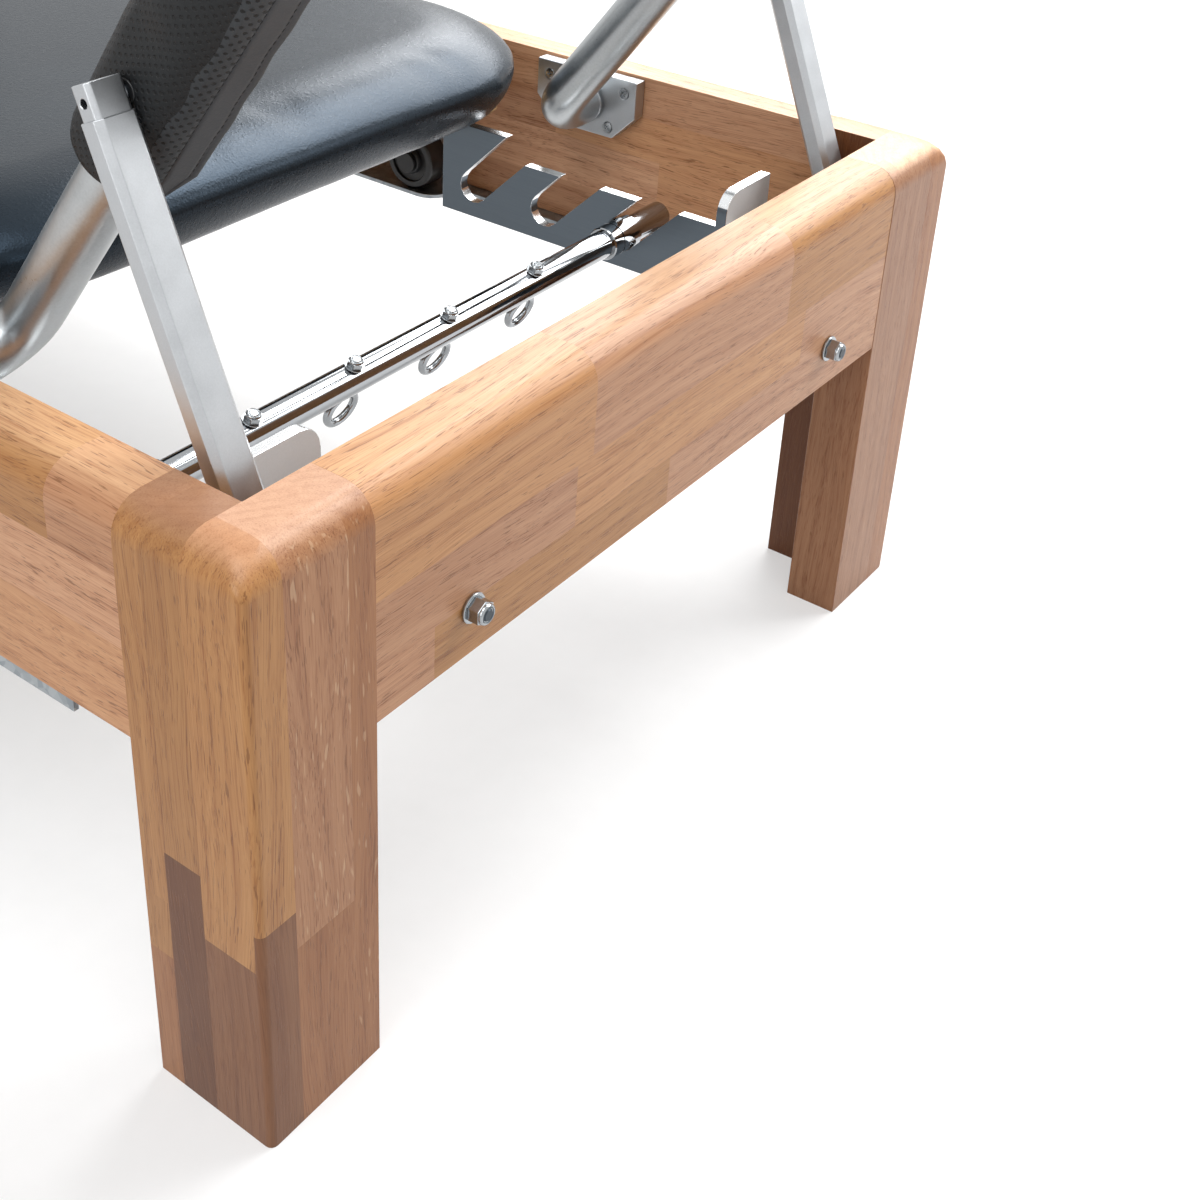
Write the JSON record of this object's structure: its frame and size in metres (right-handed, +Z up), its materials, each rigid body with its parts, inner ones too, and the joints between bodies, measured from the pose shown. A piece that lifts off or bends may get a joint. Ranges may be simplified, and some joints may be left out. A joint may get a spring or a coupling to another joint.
{
  "type": "pilates reformer with tower",
  "caption": "Oak reformer with rolling padded carriage, propped footbar, geared spring bar, and a head-end tower carrying a push-through bar.",
  "frame": {"origin": "on the floor, at the centre of the whole part's box", "axes": "+X along the frame towards the foot end, +Y to the left of a person whose head is at -X, +Z up"},
  "size_m": [2.4084, 0.693, 1.9999],
  "materials": {
    "oak": "oiled, glued from strips",
    "birch_plywood": "clear lacquer",
    "galvanised_sheet": "satin",
    "anodised_plate": "grey anodised",
    "blasted_aluminium": "bead blasted",
    "chrome": "polished",
    "stainless_fasteners": "polished",
    "tower_steel": "satin",
    "slate_leatherette": "soft grain",
    "perforated_leatherette": "perforated",
    "black_nylon": "matte",
    "spring_wire": "bright wire"
  },
  "bodies": {
    "frame": {"leg_foot_left": "oak", "leg_foot_right": "oak", "leg_head_left": "oak", "leg_head_right": "oak", "side_rail_left": "oak", "side_rail_right": "oak", "end_rail_foot": "oak", "end_rail_head": "oak", "track_left": "galvanised_sheet", "track_right": "galvanised_sheet", "gear_plate_left": "anodised_plate", "gear_plate_right": "anodised_plate", "end_rail_bolt_left": "stainless_fasteners", "end_rail_bolt_right": "stainless_fasteners", "footbar_bracket_left": "blasted_aluminium", "footbar_bracket_right": "blasted_aluminium", "prop_seat_left": "black_nylon", "prop_seat_right": "black_nylon", "tower_frame": "tower_steel", "upright_socket_left": "black_nylon", "upright_socket_right": "black_nylon", "pulley_block_left": "black_nylon", "pulley_block_right": "black_nylon", "push_bar_collar_left": "black_nylon", "push_bar_collar_right": "black_nylon"},
    "footbar": {"footbar_tube": "blasted_aluminium", "footbar_sleeve": "perforated_leatherette", "prop_pin_left": "stainless_fasteners", "prop_pin_right": "stainless_fasteners"},
    "prop_left": {"prop_tube_left": "blasted_aluminium", "prop_block_left": "blasted_aluminium"},
    "prop_right": {"prop_tube_right": "blasted_aluminium", "prop_block_right": "blasted_aluminium"},
    "spring_bar": {"spring_bar": "chrome", "eyebolt_1": "stainless_fasteners", "eyebolt_2": "stainless_fasteners", "eyebolt_3": "stainless_fasteners", "eyebolt_4": "stainless_fasteners"},
    "carriage": {"carriage_base": "birch_plywood", "carriage_pad": "slate_leatherette", "carriage_side_plate_left": "galvanised_sheet", "carriage_side_plate_right": "galvanised_sheet", "shoulder_rest_left": "slate_leatherette", "shoulder_rest_right": "slate_leatherette", "shoulder_bracket_left": "galvanised_sheet", "shoulder_bracket_right": "galvanised_sheet", "spring_tray": "galvanised_sheet", "spring_1": "spring_wire", "spring_2": "spring_wire", "spring_3": "spring_wire", "spring_4": "spring_wire"},
    "wheel_front_left": {"wheel_front_left": "black_nylon"},
    "wheel_front_right": {"wheel_front_right": "black_nylon"},
    "wheel_rear_left": {"wheel_rear_left": "black_nylon"},
    "wheel_rear_right": {"wheel_rear_right": "black_nylon"},
    "headrest": {"headrest_board": "birch_plywood", "headrest_pad": "slate_leatherette"},
    "push_bar": {"push_bar": "tower_steel"},
    "sheave_left": {"pulley_sheave_left": "black_nylon"},
    "sheave_right": {"pulley_sheave_right": "black_nylon"}
  },
  "joints": [
    {"name": "footbar_pivot", "type": "hinge", "parent": "frame", "child": "footbar", "pos_m": [0.91525, 0, 0.338], "axis": [0, 1, 0], "range_deg": [-25, 0]},
    {"name": "prop_left_pivot", "type": "hinge", "parent": "footbar", "child": "prop_left", "pos_m": [1.05709, 0.285, 0.52285], "axis": [0, 1, 0], "range_deg": [0, 40]},
    {"name": "prop_right_pivot", "type": "hinge", "parent": "footbar", "child": "prop_right", "pos_m": [1.05709, -0.285, 0.52285], "axis": [0, 1, 0], "range_deg": [0, 40]},
    {"name": "spring_bar_lift", "type": "slide", "parent": "frame", "child": "spring_bar", "axis": [0.7071, 0, 0.7071], "range_m": [0, 0.06]},
    {"name": "carriage_slide", "type": "slide", "parent": "frame", "child": "carriage", "axis": [1, 0, 0], "range_m": [-1, 0]},
    {"name": "headrest_hinge", "type": "hinge", "parent": "carriage", "child": "headrest", "pos_m": [0.24975, 0, 0.343], "axis": [0, 1, 0], "range_deg": [0, 25]},
    {"name": "push_bar_swing", "type": "hinge", "parent": "frame", "child": "push_bar", "pos_m": [-1.10425, 0, 1.45], "axis": [0, 1, 0], "range_deg": [-110, 20]},
    {"name": "wheel_front_left_spin", "type": "hinge", "parent": "carriage", "child": "wheel_front_left", "pos_m": [0.75975, 0.2775, 0.255], "axis": [0, 1, 0], "continuous": true},
    {"name": "wheel_rear_left_spin", "type": "hinge", "parent": "carriage", "child": "wheel_rear_left", "pos_m": [0.10575, 0.2775, 0.255], "axis": [0, 1, 0], "continuous": true},
    {"name": "wheel_front_right_spin", "type": "hinge", "parent": "carriage", "child": "wheel_front_right", "pos_m": [0.75975, -0.2775, 0.255], "axis": [0, 1, 0], "continuous": true},
    {"name": "wheel_rear_right_spin", "type": "hinge", "parent": "carriage", "child": "wheel_rear_right", "pos_m": [0.10575, -0.2775, 0.255], "axis": [0, 1, 0], "continuous": true},
    {"name": "sheave_left_spin", "type": "hinge", "parent": "frame", "child": "sheave_left", "pos_m": [-1.03825, 0.2811, 0.52], "axis": [0, 1, 0], "continuous": true},
    {"name": "sheave_right_spin", "type": "hinge", "parent": "frame", "child": "sheave_right", "pos_m": [-1.03825, -0.2811, 0.52], "axis": [0, 1, 0], "continuous": true}
  ],
  "couplings": [
    {"joint": "wheel_front_left_spin", "follows": "carriage_slide", "rad_per_m": 41.667},
    {"joint": "wheel_front_right_spin", "follows": "carriage_slide", "rad_per_m": 41.667},
    {"joint": "wheel_rear_left_spin", "follows": "carriage_slide", "rad_per_m": 41.667},
    {"joint": "wheel_rear_right_spin", "follows": "carriage_slide", "rad_per_m": 41.667}
  ]
}
